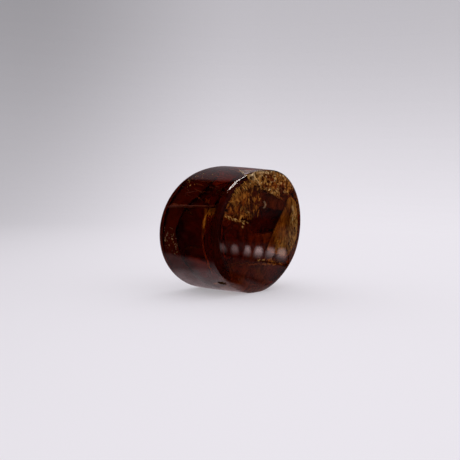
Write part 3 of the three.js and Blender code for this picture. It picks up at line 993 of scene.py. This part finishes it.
# %% The far side and the underside
veil("far_cloud", under_side, on_side(
    (-4.4, 424, 0.5), (1.5, 422, 0.5), (4.0, 410, 0.5), (4.2, 380, 0.4), (4.2, 340, 0.4),
    (4.1, 305, 0.4), (2.5, 272, 0.5), (-1.0, 268, 0.5), (-4.4, 276, 0.5), (-4.7, 310, 0.5),
    (-4.8, 360, 0.5), (-4.6, 400, 0.5),
), 4.1, deep_film, seed=91, crumple=0.4, pitch=5.0, rings=60, around=260)
veil("far_rim_cloud", under_side, on_side(
    (2.2, 336, 0.6), (4.8, 334), (4.8, 350), (4.8, 370), (4.8, 388), (4.8, 402), (2.4, 400, 0.6),
    (1.8, 368, 0.8),
), 2.4, brown_film, seed=98, crumple=0.2, pitch=3.0, tear=0.01)
veil("far_fold", under_side, on_side(
    (-3.6, 372, 0.8), (-1.0, 366), (1.6, 352), (3.4, 356, 0.5), (3.6, 374, 0.8), (1.2, 388, 0.6),
    (-1.8, 392, 0.8),
), 1.5, smooth_film, seed=92, tilt=(0.1, 0.08), crumple=0.2, pitch=2.0)
veil("far_patch", under_side, on_side(
    (-3.4, 312, 0.6), (-0.6, 306, 0.4), (1.6, 312), (1.2, 326), (-1.4, 332, 0.6), (-3.6, 326, 0.8),
), 1.3, healed_crack, seed=93, crumple=0.22, pitch=1.7)
streak("far_crack", under_side, on_side(
    (-4.2, 346, 0.25, 1.4), (-1.6, 344, 0.3, 1.1), (1.2, 341, 0.25, 1.2), (3.6, 342, 0.2, 1.6),
), healed_crack, seed=94, dive=2.0)
flecks("far_flakes", under_side, on_side((-3.8, 366), (2.8, 350), (3.4, 372), (0.6, 392), (-3.0, 394)), 140,
       (0.6, 1.3), (0.2, 0.8), gold_flake, seed=95, turn=0.2, spread=0.5, slim=0.35)
flecks("back_flakes", under_back, ((1.5, 13.5), (5.5, 12.5), (7.0, 8.5), (4.5, 5.0), (1.0, 9.0)), 160,
       (0.7, 1.8), (0.2, 0.9), gold_flake, seed=96, turn=1.1, spread=0.6, slim=0.35)
veil("back_veil", under_back, (
    (0.8, 14.0, 0.6), (4.0, 14.6, 0.4), (7.2, 12.0), (8.0, 8.8), (6.4, 5.4, 0.4), (3.4, 4.4, 0.8),
    (1.6, 7.4, 1.0), (1.8, 10.8, 1.0),
), 1.5, healed_crack, seed=97, tilt=(-0.08, 0.0), crumple=0.22, pitch=2.0, tear=0.015, rings=50)

# %% [markdown]
# ## The studio
# A glassy stone is drawn mostly by what it mirrors, so the studio is set up like a jeweller's: a pale
# sweep for the camera to see, a table that is brightly lit in a few places, window panes beside the
# stone, one soft panel behind it that only its upper side mirrors, one overhead softbox that puts a
# bright line on the bevel, and dark cloth everywhere else. Cycles can give each kind of ray its own
# answer, so each card here works for the rays it is meant for and none of them gets in another's way.

# %% Directions in the studio
BEARING = math.radians(GAZE_BEARING)
AHEAD = np.array([math.cos(BEARING), math.sin(BEARING), 0])
TO_RIGHT = np.array([math.sin(BEARING), -math.cos(BEARING), 0])


def in_studio(right, ahead, height):
    """Point at so many mm to the right, ahead and up, as the camera stands."""
    return right * TO_RIGHT + ahead * AHEAD + np.array([0, 0, height])


def studio_axes(tree, vector):
    """Splits a vector into ahead (X), left (Y) and up (Z), as the camera stands."""
    turned = add(tree, "ShaderNodeVectorRotate", {"Vector": vector, "Angle": -BEARING},
                 rotation_type="Z_AXIS")
    return add(tree, "ShaderNodeSeparateXYZ", {"Vector": turned.outputs[0]}).outputs


print("the camera looks along", AHEAD.round(2))

# %% [markdown]
# ## Soft patches of light, and the cards that carry them
# A patch of light with soft edges is a product of smooth steps, one for each straight edge: it is bright
# where all the steps are up. What the polish mirrors has a touch of pink here, and all other light is
# plain. A ray that goes through the stone counts as a mirrored one too, so those are taken off.

# %% Soft patches, the pink of mirrored light, and stage cards
MIRRORED_PINK = "#FFE6EC"


def soft_patch(tree, edges, strength=1.0, unit=1.0):
    """strength x a smooth step for each edge: (coordinate, start, stop), or with low and high after."""
    light = strength
    for coordinate, start, stop, low, high in [(*edge, 0.0, 1.0)[:5] for edge in edges]:
        step = add(tree, "ShaderNodeMapRange", {
            "Value": coordinate,
            "From Min": start * unit,
            "From Max": stop * unit,
            "To Min": low,
            "To Max": high,
        }, interpolation_type="SMOOTHSTEP")
        light = add(tree, "ShaderNodeMath", {0: light, 1: step.outputs[0]}, operation="MULTIPLY").outputs[0]
    return light


def tinted(tree, path, plain):
    """Colour of a light: pink for rays that are glossy and not transmission ones, plain for the others."""
    mirrored_only = add(tree, "ShaderNodeMath", {
        0: path.outputs["Is Glossy Ray"],
        1: path.outputs["Is Transmission Ray"],
    }, operation="SUBTRACT")
    return add(tree, "ShaderNodeMix", {
        0: mirrored_only.outputs[0],
        6: linear(plain),
        7: linear(MIRRORED_PINK),
    }, data_type="RGBA").outputs[2]


def stage_card(name, points, faces, material, seen_by):
    """A stage piece, shaded flat, that only the named kinds of ray can see."""
    card = put_in_scene(name, points, faces, material)
    card.data.shade_flat()
    for kind in ("camera", "diffuse", "glossy", "transmission", "shadow", "volume_scatter"):
        setattr(card, "visible_" + kind, kind in seen_by)
    print("stage", name, len(faces), "faces, seen by", *seen_by)
    return card


print("mirrored light:", MIRRORED_PINK)

# %% [markdown]
# ## The paper sweep
# Pale grey paper runs under the stone and curves up behind it. Part of its light is glow painted into the
# paper, which keeps the shadow under the stone soft, and painted shade makes it darker high up and to the
# left.
# Only the camera sees it.

# %% The sweep, floor and backdrop in one
FLOOR_RADIUS = 170.0
CURVE_RADIUS = 120.0
WALL_TOP = 700.0
SWEEP_AROUND = 180
PAPER_GLOW = 0.34  # share of its light that is glow painted into the paper, which softens the stone's shadow


def sweep_profile():
    """Flat disc, quarter circle, upright wall: (radius, height) pairs."""
    bend = np.linspace(0, math.pi / 2, 24)
    flat = [(FLOOR_RADIUS * s, 0) for s in np.linspace(0.02, 0.98, 24)]
    curve = np.stack([FLOOR_RADIUS + CURVE_RADIUS * np.sin(bend), CURVE_RADIUS * (1 - np.cos(bend))], -1)
    wall = [(FLOOR_RADIUS + CURVE_RADIUS, z) for z in np.linspace(CURVE_RADIUS, WALL_TOP, 10)[1:]]
    return np.concatenate([flat, curve, wall])


profile = sweep_profile()
bearing = np.linspace(0, 2 * np.pi, SWEEP_AROUND, endpoint=False)
bowl = np.stack([
    profile[:, :1] * np.cos(bearing),
    profile[:, :1] * np.sin(bearing),
    profile[:, 1:] + 0 * bearing,
], -1)
points, faces = closed_skin((0, 0, 0), bowl, (0, 0, WALL_TOP + 1))
faces = [face for face in faces if len(points) - 1 not in face]  # the bowl stays open at the top

sweep_paper = empty_material("pale paper sweep")
tree = sweep_paper.node_tree
spot = add(tree, "ShaderNodeTexCoord")
_, left, rise = studio_axes(tree, spot.outputs["Object"])
# painted shade: the paper's colour falls off high up and to the left, standing in for the light's falloff
painted_falloff = soft_patch(tree, [(rise, -60, 140, 1.10, 0.64), (left, -10, 120, 0.97, 0.61)], unit=MM)
shade = add(tree, "ShaderNodeMix", {0: painted_falloff, 6: linear("#000000"), 7: linear("#F2F0F4")}, data_type="RGBA")
lit = add(tree, "ShaderNodeBsdfDiffuse", {"Color": shade.outputs[2]})
# painted light: part of the paper glows by itself, which softens the shadow under the stone
glowing = add(tree, "ShaderNodeEmission", {"Color": shade.outputs[2], "Strength": 1.0})
paper = add(tree, "ShaderNodeMixShader", {0: PAPER_GLOW, 1: lit.outputs[0], 2: glowing.outputs[0]})
add(tree, "ShaderNodeOutputMaterial", {"Surface": paper.outputs[0]})
stage_card("sweep", points, faces, sweep_paper, ("camera",))

# %% [markdown]
# ## The table in the polish
# A polished stone mirrors the table in its lower half, brightly or darkly as the paper there is lit. So
# the table gets a few soft patches, each where one part of the stone mirrors it. Their edges are given by
# how far ahead or to the left they are, or by a slant between the two, and the brightest patch wins.

# %% Patches on the table
TABLE_MIRRORED_FAR = 0.42
TABLE_MIRRORED_NEAR = 0.18
TABLE_MIRRORED_RIGHT = 0.12
TABLE_MIRRORED_LEAST = 0.005
PAPER_MOTTLING = 2.2  # mm, the width of faint blotches in the paper
table_light = empty_material("table for mirrored and bent rays")
tree = table_light.node_tree
spot = add(tree, "ShaderNodeTexCoord")
ahead, left, _ = studio_axes(tree, spot.outputs["Object"])
askew = {  # ahead + slope x left: each is constant along straight lines drawn askew over the table
    slope: add(tree, "ShaderNodeMath", {0: left, 1: slope, 2: ahead}, operation="MULTIPLY_ADD").outputs[0]
    for slope in (-1.0, -0.43, 0.3, 0.5, 0.8)
}
mottling = add(tree, "ShaderNodeTexNoise", {
    "Vector": spot.outputs["Object"],
    "Scale": 1 / (PAPER_MOTTLING * MM),
    "Detail": 2.0,
}).outputs["Fac"]
blotches = soft_patch(tree, [(mottling, 0.35, 0.65, 0.85, 1.15)])
table_patches = {  # the strength of each, then its edges in mm
    "close behind the stone, low on the long side": (blotches, [
        (askew[-0.43], -12.2, -9.8),
        (askew[0.5], -6.7, -5.5),
        (left, -4, -1),
        (askew[-1.0], -12.8, -9, TABLE_MIRRORED_NEAR, TABLE_MIRRORED_FAR),
        (askew[-1.0], -8, -3, 1.0, 0.78),
    ]),
    "farther right, in the side's lowest corner": (TABLE_MIRRORED_RIGHT, [
        (ahead, -2, 2),
        (askew[0.8], -18, -14),
    ]),
    "right of the stone, in the lower facet": (1.0, [
        (left, -19, -15),
        (left, -7, -9.5),
        (ahead, -7, 4, 0.035, 0.11),
    ]),
    "below the stone": (0.16, [(left, -8.5, -6), (ahead, -5.5, -2.5)]),
    "round the window panes": (0.06, [(left, -62, -46), (left, -21, -26)]),
    "beyond the panes, fading away": (0.07, [(askew[0.3], 0, 8), (left, -30, -45), (left, -180, -80)]),
}
mirrored = TABLE_MIRRORED_LEAST
for strength, edges in table_patches.values():
    patch = soft_patch(tree, edges, strength, MM)
    mirrored = add(tree, "ShaderNodeMath", {0: patch, 1: mirrored}, operation="MAXIMUM").outputs[0]
print("patches on the table:", "; ".join(table_patches))

# %% [markdown]
# ## The table itself
# One square card takes the place of the sweep for every ray but the camera's. Rays that have come through
# the stone see it bright, matt surfaces are lit by it evenly, and the polish mirrors the patches. The
# transmission answer is mixed in last, because a ray bent by the stone counts as a glossy one too.

# %% The table, as mirrored and bent rays see it
TABLE_HALF = 200.0
TABLE_SINK = 0.01  # mm below the stone's rest
TABLE_SEEN_THROUGH = 0.9
TABLE_LIT = 0.75
path = add(tree, "ShaderNodeLightPath")
bounced = add(tree, "ShaderNodeMix", {0: path.outputs["Is Glossy Ray"], 2: TABLE_LIT, 3: mirrored})
passed = path.outputs["Is Transmission Ray"]
level = add(tree, "ShaderNodeMix", {0: passed, 2: bounced.outputs[0], 3: TABLE_SEEN_THROUGH}).outputs[0]
glow = add(tree, "ShaderNodeEmission", {"Color": tinted(tree, path, "#FBF8FF"), "Strength": level})
add(tree, "ShaderNodeOutputMaterial", {"Surface": glow.outputs[0]})
corners = [(TABLE_HALF * x, TABLE_HALF * y, -TABLE_SINK) for x, y in ((-1, -1), (1, -1), (1, 1), (-1, 1))]
stage_card("table", corners, [(0, 1, 2, 3)], table_light, ("glossy", "transmission", "diffuse"))

# %% [markdown]
# ## Light from all round
# The room is even light for the matt paper and brighter from the lamp's side for rays that pass through
# the stone. Rays that the polish mirrors meet dark cloth, apart from one panel behind the stone.

# %% Light from all round
PANEL_MIRRORED = 0.21
CLOTH_MIRRORED = 0.003
CLOTH_MIRRORED_RIGHT = 0.03
ROOM_FILL = 0.95
DIM_THROUGH = 0.30
BRIGHT_THROUGH = 1.2
LAMP_BEARING, LAMP_HEIGHT = -30, 45  # degrees
DEGREE = math.radians(1)
world = bpy.data.worlds.new("studio")
scene.world = world
world.use_nodes = True
tree = world.node_tree
tree.nodes.clear()
path = add(tree, "ShaderNodeLightPath")
look = add(tree, "ShaderNodeTexCoord")
ahead, left, rise = studio_axes(tree, look.outputs["Generated"])
height = add(tree, "ShaderNodeMath", {0: rise}, operation="ARCSINE").outputs[0]
side = add(tree, "ShaderNodeMath", {0: left, 1: ahead}, operation="ARCTAN2").outputs[0]
panel = soft_patch(tree, [(height, 57, 49), (side, 35, 20), (side, -52, -46)], unit=DEGREE)
to_right = soft_patch(tree, [(left, 0.1, -0.3)], CLOTH_MIRRORED_RIGHT)
cloth = soft_patch(tree, [(height, 14, 4), (height, -2.4, -0.8)], to_right, DEGREE)
cloth = add(tree, "ShaderNodeMath", {0: cloth, 1: CLOTH_MIRRORED}, operation="MAXIMUM").outputs[0]
mirrored = add(tree, "ShaderNodeMix", {0: panel, 2: cloth, 3: PANEL_MIRRORED}).outputs[0]
lamp_side = add(tree, "ShaderNodeVectorMath", {
    0: look.outputs["Generated"],
    1: direction(LAMP_BEARING, LAMP_HEIGHT),
}, operation="DOT_PRODUCT").outputs["Value"]
through = soft_patch(tree, [(lamp_side, -0.2, 0.8, DIM_THROUGH, BRIGHT_THROUGH)])
bounced = add(tree, "ShaderNodeMix", {0: path.outputs["Is Glossy Ray"], 2: ROOM_FILL, 3: mirrored})
passed = path.outputs["Is Transmission Ray"]
level = add(tree, "ShaderNodeMix", {0: passed, 2: bounced.outputs[0], 3: through}).outputs[0]
light = add(tree, "ShaderNodeBackground", {"Color": tinted(tree, path, "#FDFAFF"), "Strength": level})
add(tree, "ShaderNodeOutputWorld", {"Surface": light.outputs[0]})
print("world: panel", PANEL_MIRRORED, "fill", ROOM_FILL)

# %% [markdown]
# ## The overhead softbox
# The bright, broken line on the rim is the mirror image of a softbox with bars across it. Only mirrored
# rays see it, so it doesn't light the paper.

# %% Overhead softbox
SOFTBOX_HEIGHT = 300.0
SOFTBOX_NEAR, SOFTBOX_FAR = -0.30, 0.25  # ahead, as shares of the height
SOFTBOX_STRIPS = (  # from and to, going right, as shares of the height, and the glow between them
    (-0.05, 0.22, 9.0), (0.22, 0.34, 2.0), (0.34, 0.5, 9.0), (0.5, 0.56, 1.0), (0.56, 0.7, 9.0),
)
for number, (start, stop, strength) in enumerate(SOFTBOX_STRIPS):
    strip_cloth = empty_material(f"softbox cloth {number}")
    tree = strip_cloth.node_tree
    glow = add(tree, "ShaderNodeEmission", {"Color": linear("#FFF6F0"), "Strength": strength})
    add(tree, "ShaderNodeOutputMaterial", {"Surface": glow.outputs[0]})
    sides = ((start, SOFTBOX_NEAR), (stop, SOFTBOX_NEAR), (stop, SOFTBOX_FAR), (start, SOFTBOX_FAR))
    corners = [SOFTBOX_HEIGHT * in_studio(right, ahead_share, 1) for right, ahead_share in sides]
    stage_card(f"softbox_{number}", corners, [(0, 1, 2, 3)], strip_cloth, ("glossy",))

# %% [markdown]
# ## The window panes
# The row of pale spots low on the front face is a row of window panes, lying level beside the stone and
# mirrored by the polish. They fan out a little, and the light of each fades towards its edges.

# %% Row of window panes beside the stone
PANE_PLACES = (-8.0, -4.3, -0.3, 3.2, 7.4, 11.7)  # mm ahead, where the row crosses PANE_MIDDLE
PANE_GLOWS = (0.6, 1.1, 1.95, 2.6, 1.6, 1.5)
PANE_WIDTHS = (3.2, 3.0, 2.7, 3.4, 4.8, 5.2)
PANE_MIDDLE, PANE_REACH = 33.0, 16.0  # mm right of the stone, and half the length of a pane
PANE_LEAN, PANE_FAN = 0.16, 0.02  # slope of the pane at 0 mm ahead, and what each mm ahead adds to it
PANE_LIFT = 0.05  # mm above the table's level
pane_glass = empty_material("window panes")
tree = pane_glass.node_tree
uv = add(tree, "ShaderNodeUVMap", uv_map="UVMap")
u, v, _ = add(tree, "ShaderNodeSeparateXYZ", {"Vector": uv.outputs[0]}).outputs
glow = add(tree, "ShaderNodeAttribute", attribute_name="glow").outputs["Fac"]
soft = soft_patch(tree, [(u, 0.0, 0.45), (u, 1.0, 0.55), (v, 0.0, 0.4), (v, 1.0, 0.6)], glow)
pane_light = add(tree, "ShaderNodeEmission", {"Color": linear("#FFDCDC"), "Strength": soft})
add(tree, "ShaderNodeOutputMaterial", {"Surface": pane_light.outputs[0]})
corners, squares = [], []
for place, width in zip(PANE_PLACES, PANE_WIDTHS):
    slope = PANE_LEAN + PANE_FAN * place
    for right, sideways in ((-1, -1), (1, -1), (1, 1), (-1, 1)):
        ahead_mm = place + right * PANE_REACH * slope + sideways * width / 2
        corners.append(in_studio(PANE_MIDDLE + right * PANE_REACH, ahead_mm, PANE_LIFT))
    squares.append(tuple(range(len(corners) - 4, len(corners))))
panes = stage_card("window_panes", corners, squares, pane_glass, ("glossy",))
panes.data.uv_layers.new(name="UVMap").data.foreach_set("uv", [0, 0, 1, 0, 1, 1, 0, 1] * len(PANE_PLACES))
panes.data.attributes.new("glow", "FLOAT", "POINT").data.foreach_set("value", np.repeat(PANE_GLOWS, 4))
